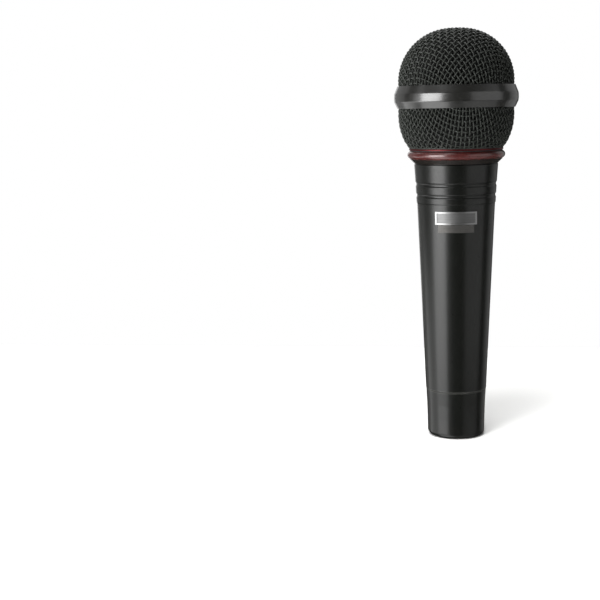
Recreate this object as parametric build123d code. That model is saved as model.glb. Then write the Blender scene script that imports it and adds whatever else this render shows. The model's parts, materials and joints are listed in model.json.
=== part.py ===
from build123d import *
import math
import os

# Hand-held karaoke microphone, standing on its tail. Millimetres, +Z up the axis, the origin at
# the centre of the tail's bottom face, the badge towards -Y and the on/off switch towards +Y.
# Heights are measured from that bottom face and radii from the axis.

# ---- Driving dimensions: grille ball ----
TOTAL_HEIGHT = 181.0
BALL_RADIUS = 25.3
CROWN_RADIUS = 44.8  # flatter arc over the very top of the ball
SHOULDER_RADIUS = 22.85  # arc from the crown down to the straight side
BOWL_ARC_RADIUS = 25.5  # arc of the lower half of the ball
BOWL_ARC_Z = 143.5  # height where that arc starts to pull in
BOWL_BOTTOM_Z = 129.0
MESH_SKIN = 0.6  # skin that stands for the woven wire, close to its weight
BAND_RADIUS = 27.1
BAND_LOW_Z = 146.5
BAND_HIGH_Z = 156.2
BAND_EDGE_RADIUS = 25.65  # where the long bevels end, close to the ball
BAND_TOP_BEVEL = 3.3
BAND_FOOT_BEVEL = 2.8
BAND_CORNER = 1.5  # rounding between the face and the bevels
HOOP_MARGIN = 0.6  # the inner hoop is this much shorter than the band at each end
HOOP_THICKNESS = 1.0
FOAM_GAP = 0.1
FOAM_THICKNESS = 3.0

# ---- Driving dimensions: neck ----
HANDLE_TOP_Z = 122.4
RING_TOP_Z = 127.9
RING_PEAK_RADIUS = 21.4  # red bead
RING_PEAK_Z = 126.2
RING_FOOT_RADIUS = 18.6  # where the ring's cone leaves the handle
COLLAR_LOW_Z = 124.0
COLLAR_TOP_Z = 131.0
COLLAR_FLANGE_Z = 128.4
COLLAR_FLANGE_RADIUS = 20.6
COLLAR_OUTER_RADIUS = 18.6
COLLAR_HUB_RADIUS = 19.9
NECK_CREST_RADIUS = 16.85
NECK_INSERT_RADIUS = 15.9
NECK_INSERT_BORE = 14.1
NECK_SEAT_Z = 113.5
THREAD_PLAY = 0.2  # radial, between the two thread crests
THREAD_PITCH = 1.0
THREAD_DEPTH = 0.45
THREAD_TURNS = 4

# ---- Driving dimensions: handle and tail ----
HANDLE_TOP_RADIUS = 18.42
HANDLE_WALL = 2.1
STEP_Z = 105.0  # small step under the collar of the handle
STEP_RADIUS = 17.38  # just above the step
GRIP_TOP_RADIUS = 17.12  # just under the step
SEAM_Z = 21.4  # joint between the handle and the tail sleeve
SEAM_RADIUS = 13.5
SEAM_CHAMFER = 0.22
GROOVE_HEIGHTS = (108.6, 113.5)
GROOVE_WIDTH = 1.9
GROOVE_DEPTH = 0.35
COLLAR_FLARE = 0.08  # how much the handle's collar is dished between its ends
TAIL_RADIUS = 12.7  # just above the rounded foot
TAIL_FILLET = 2.2
TAIL_WAIST = (12.8, 8.5)  # radius and height
TAIL_BELLY = (13.02, 15.0)
SPIGOT_TOP_Z = 28.0
SPIGOT_RADIUS = 11.35
PLAY = 0.05  # between parts that are pressed or glued together

# ---- Driving dimensions: connector ----
SOCKET_RADIUS = 8.1  # bore that the cable's plug slides into
SOCKET_SHELL_RADIUS = 9.5
SOCKET_MOUTH_Z = 0.5
SOCKET_FLOOR_Z = 16.2
SOCKET_TOP_Z = 19.0
INSULATOR_TOP_Z = 22.5
INSULATOR_HEAD_RADIUS = 8.5
PIN_RADIUS = 1.2  # free end
PIN_ROOT_RADIUS = 1.5  # pressed into the insulator
PIN_TIP_Z = 4.4
PIN_TAIL_RADIUS = 0.9
PIN_TAIL_Z = 27.0
PIN_CIRCLE_RADIUS = 4.06
PIN_ANGLES = (45, 135, 270)
LOCK_SCREW_Z = 12.0
LOCK_SCREW_RADIUS = 1.25

# ---- Driving dimensions: capsule ----
CAPSULE_RADIUS = 14.6
CAPSULE_REAR_RADIUS = 11.0
CAPSULE_WALL = 1.1
CAPSULE_FLOOR_Z = 117.0
CAPSULE_FLOOR = 1.2
CAPSULE_FLOOR_HOLE = 3.0
CAPSULE_NECK_Z = 132.6  # where the narrow rear half flares out
CAPSULE_SHELF_Z = 136.0
CAPSULE_TOP_Z = 147.0
CAP_THICKNESS = 1.4
CAP_SPIGOT_RADIUS = 12.4
CAP_HOLE_RADIUS = 1.05
CAP_HOLE_RINGS = ((0, 1), (4.2, 6), (8.4, 12))  # circle radius and number of holes
MOUNT_LIP_Z = 128.25
MOUNT_TOP_Z = 132.0
YOKE_RADIUS = 8.9
YOKE_BORE = 7.4
YOKE_FLOOR_Z = 129.0
YOKE_TOP_Z = 140.2
BAFFLE_TOP_Z = 139.0
MAGNET_RADIUS = 5.4
MAGNET_TOP_Z = 137.4
POLE_RADIUS = 6.05
COIL_INNER_RADIUS = 6.45
COIL_OUTER_RADIUS = 6.95
COIL_LOW_Z = 138.0
DIAPHRAGM_Z = 142.4
DIAPHRAGM_RISE = 2.2
SURROUND_OUTER_RADIUS = 12.2
SURROUND_RIM_RADIUS = 12.8
DIAPHRAGM_TRAVEL = 0.3  # each way
SURROUND_INNER_RADIUS = 7.6
FILM = 0.25  # diaphragm and surround
CLAMP_TOP_Z = 144.0
TAG_SPACING = 5.0
TAG_LOW_Z = 112.5
BOARD_RADIUS = 7.6
BOARD_THICKNESS = 1.2

# ---- Driving dimensions: switch, in its own frame (x across, y up the handle, z outwards) ----
SWITCH_Z = 88.0
PLATE_WIDTH = 12.0
PLATE_LENGTH = 31.0
PLATE_THICKNESS = 1.2
PLATE_CORNER = 1.5
PAD_DEPTH = 3.6  # how deep the handle's pad reaches behind the plate's face
PLATE_SCREW_SPACING = 25.0
PLATE_SCREW_RADIUS = 1.0
PLATE_SCREW_HEAD = 2.0
SWITCH_TRAVEL = 4.0
SWITCH_WIDTH = 8.4
SWITCH_LENGTH = 19.6
SWITCH_DEPTH = 7.0
SWITCH_TAG_X = 2.2
SWITCH_TAG_Y = 7.0
SWITCH_TAG_LENGTH = 2.2
KNOB_WIDTH = 6.4
KNOB_LENGTH = 8.0
KNOB_HEIGHT = 2.2
KNOB_GAP = 0.15  # between the knob and the plate
STEM_WIDTH = 3.6
STEM_LENGTH = 4.4
STEM_PLAY = 0.3  # round the stem

# ---- Driving dimensions: badge and leads ----
BADGE_WIDTH = 18.0
BADGE_LOW_Z = 96.6
BADGE_HIGH_Z = 102.2
BADGE_BASE = 0.25
BADGE_FRAME = 0.5
BADGE_BORDER = 0.7
STRIP_WIDTH = 15.6
STRIP_LOW_Z = 93.1
STRIP_GAP = 0.15
LEAD_RADIUS = 0.45

# ---- Worked out from the driving dimensions ----
RIM_SPLIT_Z = (BAND_LOW_Z + BAND_HIGH_Z) / 2  # where the two halves of the ball meet
HOOP_LOW_Z = BAND_LOW_Z + HOOP_MARGIN
HOOP_HIGH_Z = BAND_HIGH_Z - HOOP_MARGIN
FOAM_OUTER_INSET = MESH_SKIN + FOAM_GAP
FOAM_INNER_INSET = FOAM_OUTER_INSET + FOAM_THICKNESS
CROWN_CENTRE = (0.0, TOTAL_HEIGHT - CROWN_RADIUS)
ARC_CENTRES_APART = CROWN_RADIUS - SHOULDER_RADIUS
CROWN_TILT = math.degrees(math.asin((BALL_RADIUS - SHOULDER_RADIUS) / ARC_CENTRES_APART))
SHOULDER_Z = CROWN_CENTRE[1] + ARC_CENTRES_APART * math.cos(math.radians(CROWN_TILT))
SHOULDER_CENTRE = (BALL_RADIUS - SHOULDER_RADIUS, SHOULDER_Z)
BOWL_CENTRE = (BALL_RADIUS - BOWL_ARC_RADIUS, BOWL_ARC_Z)
COLLAR_CREST_RADIUS = NECK_CREST_RADIUS + THREAD_PLAY
RING_INNER_RADIUS = COLLAR_OUTER_RADIUS + 0.3
CAPSULE_BORE = CAPSULE_RADIUS - CAPSULE_WALL
CAPSULE_REAR_BORE = CAPSULE_REAR_RADIUS - CAPSULE_WALL
GRIP_SLOPE = (GRIP_TOP_RADIUS - SEAM_RADIUS) / (STEP_Z - SEAM_Z)
STEM_SLOT_WIDTH = STEM_WIDTH + 2 * STEM_PLAY
STEM_SLOT_LENGTH = STEM_LENGTH + SWITCH_TRAVEL + 2 * STEM_PLAY

BOTTOM_UP = (Align.CENTER, Align.CENTER, Align.MIN)


# ---- Shared helpers ----
def at(radius, height):
    """A point of a turned part's half section."""
    return Vector(radius, 0, height)


def polar(centre, radius, tilt):
    """The point of an arc whose direction leans tilt degrees from straight up."""
    lean = math.radians(tilt)
    return at(centre[0] + radius * math.sin(lean), centre[1] + radius * math.cos(lean))


def tilt_at(centre, radius, height):
    """How far from straight up an arc's direction leans where it passes a height."""
    return math.degrees(math.acos((height - centre[1]) / radius))


def arc(centre, radius, start_tilt, end_tilt):
    middle_tilt = (start_tilt + end_tilt) / 2
    return ThreePointArc(
        polar(centre, radius, start_tilt),
        polar(centre, radius, middle_tilt),
        polar(centre, radius, end_tilt),
    )


def turned(*lines):
    """A solid turned about the axis from the lines round its half section."""
    edges = [edge for line in lines for edge in line.edges()]
    return revolve(make_face(edges), Axis.Z, 360)


def turned_points(*points):
    return turned(Polyline(*[at(radius, height) for radius, height in points], close=True))


def disc(radius, low, high):
    return Pos(0, 0, low) * Cylinder(radius, high - low, align=BOTTOM_UP)


def tube(inner, outer, low, high):
    return disc(outer, low, high) - disc(inner, low, high)


def slab(width, length, low, high):
    return Pos(0, 0, low) * Box(width, length, high - low, align=BOTTOM_UP)


def rounded_slab(width, length, low, high, corner):
    outline = RectangleRounded(width, length, corner)
    return Pos(0, 0, low) * extrude(outline, high - low)


def halfway(low, high):
    return (low + high) / 2


def thread_points(crest, root, low):
    """Half-section points of a thread's V grooves, upwards from low, crest to crest."""
    points = [(crest, low)]
    for turn in range(THREAD_TURNS):
        start = low + turn * THREAD_PITCH
        points.append((crest, start + 0.15 * THREAD_PITCH))
        points.append((root, start + 0.5 * THREAD_PITCH))
        points.append((crest, start + 0.85 * THREAD_PITCH))
    points.append((crest, low + THREAD_TURNS * THREAD_PITCH))
    return points


# ---- Grille ball ----
def dome_wall(outer_inset, inner_inset, bottom):
    """The ball's upper half between two surfaces pulled in from the outside."""
    outer_crown = arc(CROWN_CENTRE, CROWN_RADIUS - outer_inset, 0, CROWN_TILT)
    outer_shoulder = arc(SHOULDER_CENTRE, SHOULDER_RADIUS - outer_inset, CROWN_TILT, 90)
    inner_shoulder = arc(SHOULDER_CENTRE, SHOULDER_RADIUS - inner_inset, 90, CROWN_TILT)
    inner_crown = arc(CROWN_CENTRE, CROWN_RADIUS - inner_inset, CROWN_TILT, 0)
    side = Polyline(
        outer_shoulder @ 1,
        at(BALL_RADIUS - outer_inset, bottom),
        at(BALL_RADIUS - inner_inset, bottom),
        inner_shoulder @ 0,
    )
    axis_edge = Line(inner_crown @ 1, outer_crown @ 0)
    return turned(outer_crown, outer_shoulder, side, inner_shoulder, inner_crown, axis_edge)


def bowl_wall(outer_inset, inner_inset, bottom, top):
    """The ball's lower half between two surfaces pulled in from the outside."""
    outer_radius = BOWL_ARC_RADIUS - outer_inset
    inner_radius = BOWL_ARC_RADIUS - inner_inset
    outer_arc = arc(BOWL_CENTRE, outer_radius, 90, tilt_at(BOWL_CENTRE, outer_radius, bottom))
    inner_arc = arc(BOWL_CENTRE, inner_radius, tilt_at(BOWL_CENTRE, inner_radius, bottom), 90)
    foot = Line(outer_arc @ 1, inner_arc @ 0)
    rim = Polyline(
        inner_arc @ 1,
        at(BALL_RADIUS - inner_inset, top),
        at(BALL_RADIUS - outer_inset, top),
        outer_arc @ 0,
    )
    return turned(outer_arc, foot, inner_arc, rim)


def mesh_dome():
    return dome_wall(0, MESH_SKIN, RIM_SPLIT_Z + PLAY)


def mesh_bowl():
    return bowl_wall(0, MESH_SKIN, BOWL_BOTTOM_Z, RIM_SPLIT_Z - PLAY)


def foam_dome():
    return dome_wall(FOAM_OUTER_INSET, FOAM_INNER_INSET, HOOP_HIGH_Z)


def foam_bowl():
    return bowl_wall(FOAM_OUTER_INSET, FOAM_INNER_INSET, COLLAR_TOP_Z, HOOP_LOW_Z)


def equator_band():
    """Band with long bevels above and below a slightly barrelled face."""
    barrel = 0.12
    inner = BALL_RADIUS + PLAY
    edge = BAND_RADIUS - barrel
    face_low = BAND_LOW_Z + BAND_FOOT_BEVEL
    face_high = BAND_HIGH_Z - BAND_TOP_BEVEL
    face = ThreePointArc(
        at(edge, face_low),
        at(BAND_RADIUS, (face_low + face_high) / 2),
        at(edge, face_high),
    )
    back = Polyline(
        face @ 1,
        at(BAND_EDGE_RADIUS, BAND_HIGH_Z),
        at(inner, BAND_HIGH_Z),
        at(inner, BAND_LOW_Z),
        at(BAND_EDGE_RADIUS, BAND_LOW_Z),
        face @ 0,
    )
    band = turned(face, back)
    corners = [curve for curve in band.edges() if curve.bounding_box().max.X > edge - 0.01]
    corners = [curve for curve in corners if curve.geom_type == GeomType.CIRCLE]
    corners = [curve for curve in corners if curve.bounding_box().size.Z < 0.01]
    return fillet(corners, BAND_CORNER)


def band_inner_hoop():
    outer = BALL_RADIUS - MESH_SKIN - PLAY
    return tube(outer - HOOP_THICKNESS, outer, HOOP_LOW_Z, HOOP_HIGH_Z)


# ---- Neck ----
def grille_collar():
    """Threaded ring that carries the lower edge of the bowl."""
    relief_radius = COLLAR_CREST_RADIUS + THREAD_DEPTH
    thread_low = COLLAR_LOW_Z + 0.2
    thread_top = thread_low + THREAD_TURNS * THREAD_PITCH
    inside = thread_points(COLLAR_CREST_RADIUS, relief_radius, thread_low)
    outside = [
        (relief_radius, thread_top + THREAD_DEPTH),
        (relief_radius, COLLAR_TOP_Z),
        (COLLAR_HUB_RADIUS, COLLAR_TOP_Z),
        (COLLAR_HUB_RADIUS, BOWL_BOTTOM_Z),
        (COLLAR_FLANGE_RADIUS, BOWL_BOTTOM_Z),
        (COLLAR_FLANGE_RADIUS, COLLAR_FLANGE_Z),
        (COLLAR_OUTER_RADIUS, COLLAR_FLANGE_Z),
        (COLLAR_OUTER_RADIUS, COLLAR_LOW_Z),
        (COLLAR_CREST_RADIUS, COLLAR_LOW_Z),
    ]
    return turned_points(*inside, *outside)


def accent_ring():
    """Red neck ring: a cone that flares from the handle into a round bead."""
    foot_chamfer = 0.4
    bore = NECK_CREST_RADIUS + 0.4
    flange_top = HANDLE_TOP_Z + 1.0
    cone_top_z = RING_PEAK_Z - 1.75
    cone_top_radius = RING_PEAK_RADIUS - 1.1
    notch = 0.15  # fine line between the cone and the bead
    bead_low = at(cone_top_radius + 0.1, cone_top_z + 2 * notch)
    bead_high = at(cone_top_radius + 0.25, RING_TOP_Z - 0.15)
    cone = Polyline(
        at(bore, HANDLE_TOP_Z),
        at(RING_FOOT_RADIUS - foot_chamfer, HANDLE_TOP_Z),
        at(RING_FOOT_RADIUS, HANDLE_TOP_Z + foot_chamfer),
        at(cone_top_radius, cone_top_z),
        at(cone_top_radius - notch, cone_top_z + notch),
        bead_low,
    )
    bead = ThreePointArc(bead_low, at(RING_PEAK_RADIUS, RING_PEAK_Z), bead_high)
    inside = Polyline(
        bead_high,
        at(cone_top_radius + 0.1, RING_TOP_Z),
        at(RING_INNER_RADIUS, RING_TOP_Z),
        at(RING_INNER_RADIUS, flange_top),
        at(bore, flange_top),
        at(bore, HANDLE_TOP_Z),
    )
    return turned(cone, bead, inside)


def neck_gasket():
    return tube(RING_INNER_RADIUS, COLLAR_FLANGE_RADIUS - 0.35, RING_TOP_Z, COLLAR_FLANGE_Z)


def neck_insert():
    """Threaded ring in the top of the handle, with a ledge for the rubber mount."""
    ledge_bore = 9.5
    ledge_top = NECK_SEAT_Z + 2.0
    root = NECK_CREST_RADIUS - THREAD_DEPTH
    thread_low = HANDLE_TOP_Z + 1.4
    rim = thread_low + THREAD_TURNS * THREAD_PITCH + THREAD_DEPTH
    outside = thread_points(NECK_CREST_RADIUS, root, thread_low)
    inside = [
        (root, rim),
        (NECK_INSERT_BORE, rim),
        (NECK_INSERT_BORE, ledge_top),
        (ledge_bore, ledge_top),
        (ledge_bore, NECK_SEAT_Z),
        (NECK_INSERT_RADIUS, NECK_SEAT_Z),
        (NECK_INSERT_RADIUS, HANDLE_TOP_Z),
        (NECK_CREST_RADIUS, HANDLE_TOP_Z),
    ]
    return turned_points(*outside, *inside)


# ---- Handle ----
def grip_radius(height):
    return SEAM_RADIUS + GRIP_SLOPE * (height - SEAM_Z)


def handle_collar_radius(height):
    share = (height - STEP_Z) / (HANDLE_TOP_Z - STEP_Z)
    dish = 4 * COLLAR_FLARE * share * (1 - share)
    return STEP_RADIUS + (HANDLE_TOP_RADIUS - STEP_RADIUS) * share - dish


def handle_outside():
    """The handle's outline as one solid, with its two round grooves."""
    step_height = 0.35
    top_chamfer = 0.4
    last = at(STEP_RADIUS, STEP_Z + step_height)
    grip = Polyline(
        at(0, SEAM_Z),
        at(SEAM_RADIUS - SEAM_CHAMFER, SEAM_Z),
        at(grip_radius(SEAM_Z + SEAM_CHAMFER), SEAM_Z + SEAM_CHAMFER),
        at(GRIP_TOP_RADIUS, STEP_Z),
        last,
    )
    outline = [grip]
    for height in GROOVE_HEIGHTS:
        low = height - GROOVE_WIDTH / 2
        high = height + GROOVE_WIDTH / 2
        start = at(handle_collar_radius(low), low)
        bottom = at(handle_collar_radius(height) - GROOVE_DEPTH, height)
        end = at(handle_collar_radius(high), high)
        outline.append(Line(last, start))
        outline.append(ThreePointArc(start, bottom, end))
        last = end
    shoulder = HANDLE_TOP_Z - top_chamfer
    top = Polyline(
        last,
        at(handle_collar_radius(shoulder), shoulder),
        at(HANDLE_TOP_RADIUS - top_chamfer, HANDLE_TOP_Z),
        at(0, HANDLE_TOP_Z),
        at(0, SEAM_Z),
    )
    return turned(*outline, top)


def handle_bore():
    """Stepped hole: the tail's spigot below, the tapered hollow, the neck insert above."""
    past = 1.0
    hollow_low = SPIGOT_TOP_Z + 1.0
    return turned_points(
        (0, SEAM_Z - past),
        (SPIGOT_RADIUS + PLAY, SEAM_Z - past),
        (SPIGOT_RADIUS + PLAY, hollow_low),
        (grip_radius(hollow_low) - HANDLE_WALL, hollow_low),
        (grip_radius(NECK_SEAT_Z) - HANDLE_WALL - 0.3, NECK_SEAT_Z),
        (NECK_INSERT_RADIUS + PLAY, NECK_SEAT_Z),
        (NECK_INSERT_RADIUS + PLAY, HANDLE_TOP_Z + past),
        (0, HANDLE_TOP_Z + past),
    )


def switch_plane():
    """The switch's frame: it lies in a flat cut into the back of the tapered grip."""
    face_radius = math.sqrt(grip_radius(SWITCH_Z) ** 2 - (PLATE_WIDTH / 2) ** 2)
    taper = math.atan(GRIP_SLOPE)
    return Plane(
        origin=(0, face_radius, SWITCH_Z),
        x_dir=(-1, 0, 0),
        z_dir=(0, math.cos(taper), -math.sin(taper)),
    )


def on_switch_face(shape):
    return switch_plane().location * shape


def at_plate_screws(shape):
    return [Pos(0, side * PLATE_SCREW_SPACING / 2, 0) * shape for side in (-1, 1)]


def handle_shell():
    """The hollow handle, thickened behind the switch, with the switch's pocket and window."""
    window_play = 0.4
    pad_margin = 4.0
    far = 4.0  # well outside the handle
    pad = slab(PLATE_WIDTH + pad_margin, PLATE_LENGTH + pad_margin, -PAD_DEPTH, far)
    pocket_width = PLATE_WIDTH + 2 * PLAY
    pocket_length = PLATE_LENGTH + 2 * PLAY
    pocket = rounded_slab(
        pocket_width, pocket_length, -PLATE_THICKNESS, far, PLATE_CORNER + PLAY
    )
    window_width = SWITCH_WIDTH + 2 * window_play
    window_length = SWITCH_LENGTH + 2 * window_play
    window = slab(window_width, window_length, -PAD_DEPTH - far, 0)
    tapped_hole = Cylinder(PLATE_SCREW_RADIUS + PLAY, 3 * PAD_DEPTH)
    outside = handle_outside()
    shell = outside - handle_bore()
    shell += on_switch_face(pad) & outside
    for cut in (pocket, window, *at_plate_screws(tapped_hole)):
        shell -= on_switch_face(cut)
    return shell


# ---- Tail and connector ----
def tail_sleeve():
    """Sleeve that carries the connector, with a spigot that plugs into the handle."""
    flat_radius = TAIL_RADIUS - TAIL_FILLET
    bore = SOCKET_SHELL_RADIUS + PLAY
    mouth_chamfer = 0.3
    shoulder_bore = INSULATOR_HEAD_RADIUS + 2 * PLAY
    shoulder_top = SEAM_Z + 0.6
    spigot_bore = 9.4
    seam_radius = SEAM_RADIUS - 0.12  # a hair smaller than the handle above it
    foot = arc((flat_radius, TAIL_FILLET), TAIL_FILLET, 180, 90)
    outline = Polyline(
        foot @ 1,
        at(*TAIL_WAIST),
        at(*TAIL_BELLY),
        at(seam_radius, SEAM_Z - SEAM_CHAMFER),
        at(seam_radius - SEAM_CHAMFER, SEAM_Z),
        at(SPIGOT_RADIUS, SEAM_Z),
        at(SPIGOT_RADIUS, SPIGOT_TOP_Z),
        at(spigot_bore, SPIGOT_TOP_Z),
        at(spigot_bore, shoulder_top),
        at(shoulder_bore, shoulder_top),
        at(shoulder_bore, SOCKET_TOP_Z),
        at(bore, SOCKET_TOP_Z),
        at(bore, mouth_chamfer),
        at(bore + mouth_chamfer, 0),
        foot @ 0,
    )
    screw_hole = Cylinder(LOCK_SCREW_RADIUS + PLAY, TAIL_RADIUS, align=BOTTOM_UP)
    return turned(foot, outline) - through_the_back(screw_hole, SOCKET_RADIUS)


def through_the_back(shape, start):
    """Lays an upright shape along +Y at the locking screw, starting that far from the axis."""
    return Pos(0, start, LOCK_SCREW_Z) * Rot(-90, 0, 0) * shape


def insert_screw():
    """Grub screw through the back of the tail that locks the connector."""
    start = SOCKET_SHELL_RADIUS + PLAY / 2
    length = TAIL_WAIST[0] - start - 0.35
    socket_depth = 1.2
    screw = Cylinder(LOCK_SCREW_RADIUS, length, align=BOTTOM_UP)
    socket = extrude(RegularPolygon(0.75, 6), 2 * socket_depth)
    screw -= Pos(0, 0, length - socket_depth) * socket
    return through_the_back(screw, start)


def connector_shell():
    shell = tube(SOCKET_RADIUS, SOCKET_SHELL_RADIUS, SOCKET_MOUTH_Z, SOCKET_TOP_Z)
    mouth_edges = shell.edges().filter_by(GeomType.CIRCLE).sort_by(Axis.Z)[:2]
    return chamfer(mouth_edges, 0.3)


def at_pins(shape):
    places = [Rot(0, 0, angle) * Pos(PIN_CIRCLE_RADIUS, 0, 0) for angle in PIN_ANGLES]
    return [place * shape for place in places]


def connector_insulator():
    """Moulded disc that holds the pins, with the key that lines up the cable's plug."""
    key_width = 2.2
    key_depth = 1.6
    key_height = 1.2
    body = disc(SOCKET_RADIUS - PLAY, SOCKET_FLOOR_Z, SOCKET_TOP_Z)
    body += disc(INSULATOR_HEAD_RADIUS, SOCKET_TOP_Z, INSULATOR_TOP_Z)
    key = slab(key_width, key_depth, SOCKET_FLOOR_Z - key_height, SOCKET_TOP_Z)
    body += Pos(0, SOCKET_RADIUS - key_depth / 2 - 0.5, 0) * key
    for hole in at_pins(disc(PIN_ROOT_RADIUS + PLAY, PIN_TIP_Z, PIN_TAIL_Z)):
        body -= hole
    return body


def contact_pins():
    """Three pins with rounded tips, thicker roots and thinner tails for soldering."""
    tip = at(PIN_RADIUS - 0.55, PIN_TIP_Z)
    nose_middle = at(PIN_RADIUS - 0.12, PIN_TIP_Z + 0.5)
    nose = ThreePointArc(tip, nose_middle, at(PIN_RADIUS, PIN_TIP_Z + 1.1))
    outline = Polyline(
        nose @ 1,
        at(PIN_RADIUS, SOCKET_FLOOR_Z),
        at(PIN_ROOT_RADIUS, SOCKET_FLOOR_Z),
        at(PIN_ROOT_RADIUS, INSULATOR_TOP_Z),
        at(PIN_TAIL_RADIUS, INSULATOR_TOP_Z),
        at(PIN_TAIL_RADIUS, PIN_TAIL_Z),
        at(0, PIN_TAIL_Z),
        at(0, PIN_TIP_Z),
        tip,
    )
    return Compound(at_pins(turned(nose, outline)))


# ---- Capsule housing ----
def shock_mount():
    """Soft rubber cup that the capsule's rear half is pushed into."""
    body_radius = NECK_INSERT_BORE - 0.1
    lip_radius = 15.4
    lip_height = 1.6
    foot_z = NECK_SEAT_Z + 2.0
    web_bore = 8.0
    grip = CAPSULE_REAR_RADIUS + PLAY
    return turned_points(
        (body_radius, foot_z),
        (body_radius, MOUNT_LIP_Z),
        (lip_radius, MOUNT_LIP_Z),
        (lip_radius, MOUNT_LIP_Z + lip_height),
        (grip + 2.2, MOUNT_TOP_Z),
        (grip, MOUNT_TOP_Z),
        (grip, CAPSULE_FLOOR_Z),
        (web_bore, CAPSULE_FLOOR_Z),
        (web_bore, foot_z),
    )


def capsule_shell():
    floor_top = CAPSULE_FLOOR_Z + CAPSULE_FLOOR
    return turned_points(
        (CAPSULE_FLOOR_HOLE, CAPSULE_FLOOR_Z),
        (CAPSULE_REAR_RADIUS, CAPSULE_FLOOR_Z),
        (CAPSULE_REAR_RADIUS, CAPSULE_NECK_Z),
        (CAPSULE_RADIUS, CAPSULE_NECK_Z + 2.0),
        (CAPSULE_RADIUS, CAPSULE_TOP_Z),
        (CAPSULE_BORE, CAPSULE_TOP_Z),
        (CAPSULE_BORE, CAPSULE_SHELF_Z),
        (CAPSULE_REAR_BORE, CAPSULE_SHELF_Z),
        (CAPSULE_REAR_BORE, floor_top),
        (CAPSULE_FLOOR_HOLE, floor_top),
    )


def capsule_baffle():
    """Plastic ring that carries the magnet and the diaphragm's edge, with eight ports."""
    outer = CAPSULE_BORE - PLAY
    inner = YOKE_RADIUS + PLAY
    baffle = turned_points(
        (inner, CAPSULE_SHELF_Z),
        (outer, CAPSULE_SHELF_Z),
        (outer, DIAPHRAGM_Z),
        (SURROUND_OUTER_RADIUS, DIAPHRAGM_Z),
        (SURROUND_OUTER_RADIUS, BAFFLE_TOP_Z),
        (inner, BAFFLE_TOP_Z),
    )
    port = disc(0.6, CAPSULE_SHELF_Z - 1, BAFFLE_TOP_Z + 1)
    for place in PolarLocations(10.9, 8):
        baffle -= place * port
    return baffle


def capsule_cap():
    """Perforated front cover with a spigot that presses on the clamp ring."""
    top = CAPSULE_TOP_Z + CAP_THICKNESS
    cap = disc(CAPSULE_RADIUS, CAPSULE_TOP_Z, top)
    cap += tube(CAP_SPIGOT_RADIUS, CAPSULE_BORE - PLAY, CLAMP_TOP_Z, CAPSULE_TOP_Z)
    rim = cap.edges().filter_by(GeomType.CIRCLE).sort_by(Axis.Z)[-1]
    cap = chamfer(rim, 0.5)
    hole = disc(CAP_HOLE_RADIUS, CLAMP_TOP_Z, top + 1)
    for radius, count in CAP_HOLE_RINGS:
        for place in PolarLocations(radius, count):
            cap -= place * hole
    return cap


def acoustic_screen():
    return disc(CAP_SPIGOT_RADIUS - 0.1, CAPSULE_TOP_Z - 0.6, CAPSULE_TOP_Z)


def rear_felt():
    floor_top = CAPSULE_FLOOR_Z + CAPSULE_FLOOR
    return tube(CAPSULE_FLOOR_HOLE, CAPSULE_REAR_BORE - 0.1, floor_top, floor_top + 2.0)


def terminal_board():
    return disc(BOARD_RADIUS, CAPSULE_FLOOR_Z - BOARD_THICKNESS, CAPSULE_FLOOR_Z)


def terminal_tags():
    tag = slab(1.8, 0.5, TAG_LOW_Z, CAPSULE_FLOOR_Z - BOARD_THICKNESS)
    return Compound([Pos(side * TAG_SPACING / 2, 0, 0) * tag for side in (-1, 1)])


# ---- Capsule motor and diaphragm ----
def magnet_yoke():
    floor = 2.0
    flange_radius = YOKE_RADIUS + 1.0
    return turned_points(
        (0, YOKE_FLOOR_Z - floor),
        (YOKE_RADIUS, YOKE_FLOOR_Z - floor),
        (YOKE_RADIUS, BAFFLE_TOP_Z),
        (flange_radius, BAFFLE_TOP_Z),
        (flange_radius, YOKE_TOP_Z),
        (YOKE_BORE, YOKE_TOP_Z),
        (YOKE_BORE, YOKE_FLOOR_Z),
        (0, YOKE_FLOOR_Z),
    )


def magnet():
    return disc(MAGNET_RADIUS, YOKE_FLOOR_Z, MAGNET_TOP_Z)


def pole_plate():
    return disc(POLE_RADIUS, MAGNET_TOP_Z, YOKE_TOP_Z)


def voice_coil():
    """Thin former with its winding, a raised band round the lower half."""
    former_radius = COIL_OUTER_RADIUS - 0.2
    winding_top = halfway(COIL_LOW_Z, DIAPHRAGM_Z) + 0.4
    return turned_points(
        (COIL_INNER_RADIUS, COIL_LOW_Z),
        (COIL_OUTER_RADIUS, COIL_LOW_Z),
        (COIL_OUTER_RADIUS, winding_top),
        (former_radius, winding_top),
        (former_radius, DIAPHRAGM_Z),
        (COIL_INNER_RADIUS, DIAPHRAGM_Z),
    )


def diaphragm_surround():
    """Thin rolled ring between the moving dome and the clamped edge."""
    roll = 1.0
    outer_rim = SURROUND_RIM_RADIUS
    inner_rim = COIL_INNER_RADIUS
    middle = halfway(SURROUND_INNER_RADIUS, SURROUND_OUTER_RADIUS)
    low = DIAPHRAGM_Z
    top = DIAPHRAGM_Z + FILM
    under = ThreePointArc(
        at(SURROUND_INNER_RADIUS, low), at(middle, low + roll), at(SURROUND_OUTER_RADIUS, low)
    )
    over = ThreePointArc(
        at(SURROUND_OUTER_RADIUS, top), at(middle, top + roll), at(SURROUND_INNER_RADIUS, top)
    )
    outside = Polyline(under @ 1, at(outer_rim, low), at(outer_rim, top), over @ 0)
    inside = Polyline(over @ 1, at(inner_rim, top), at(inner_rim, low), under @ 0)
    return turned(under, outside, over, inside)


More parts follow.
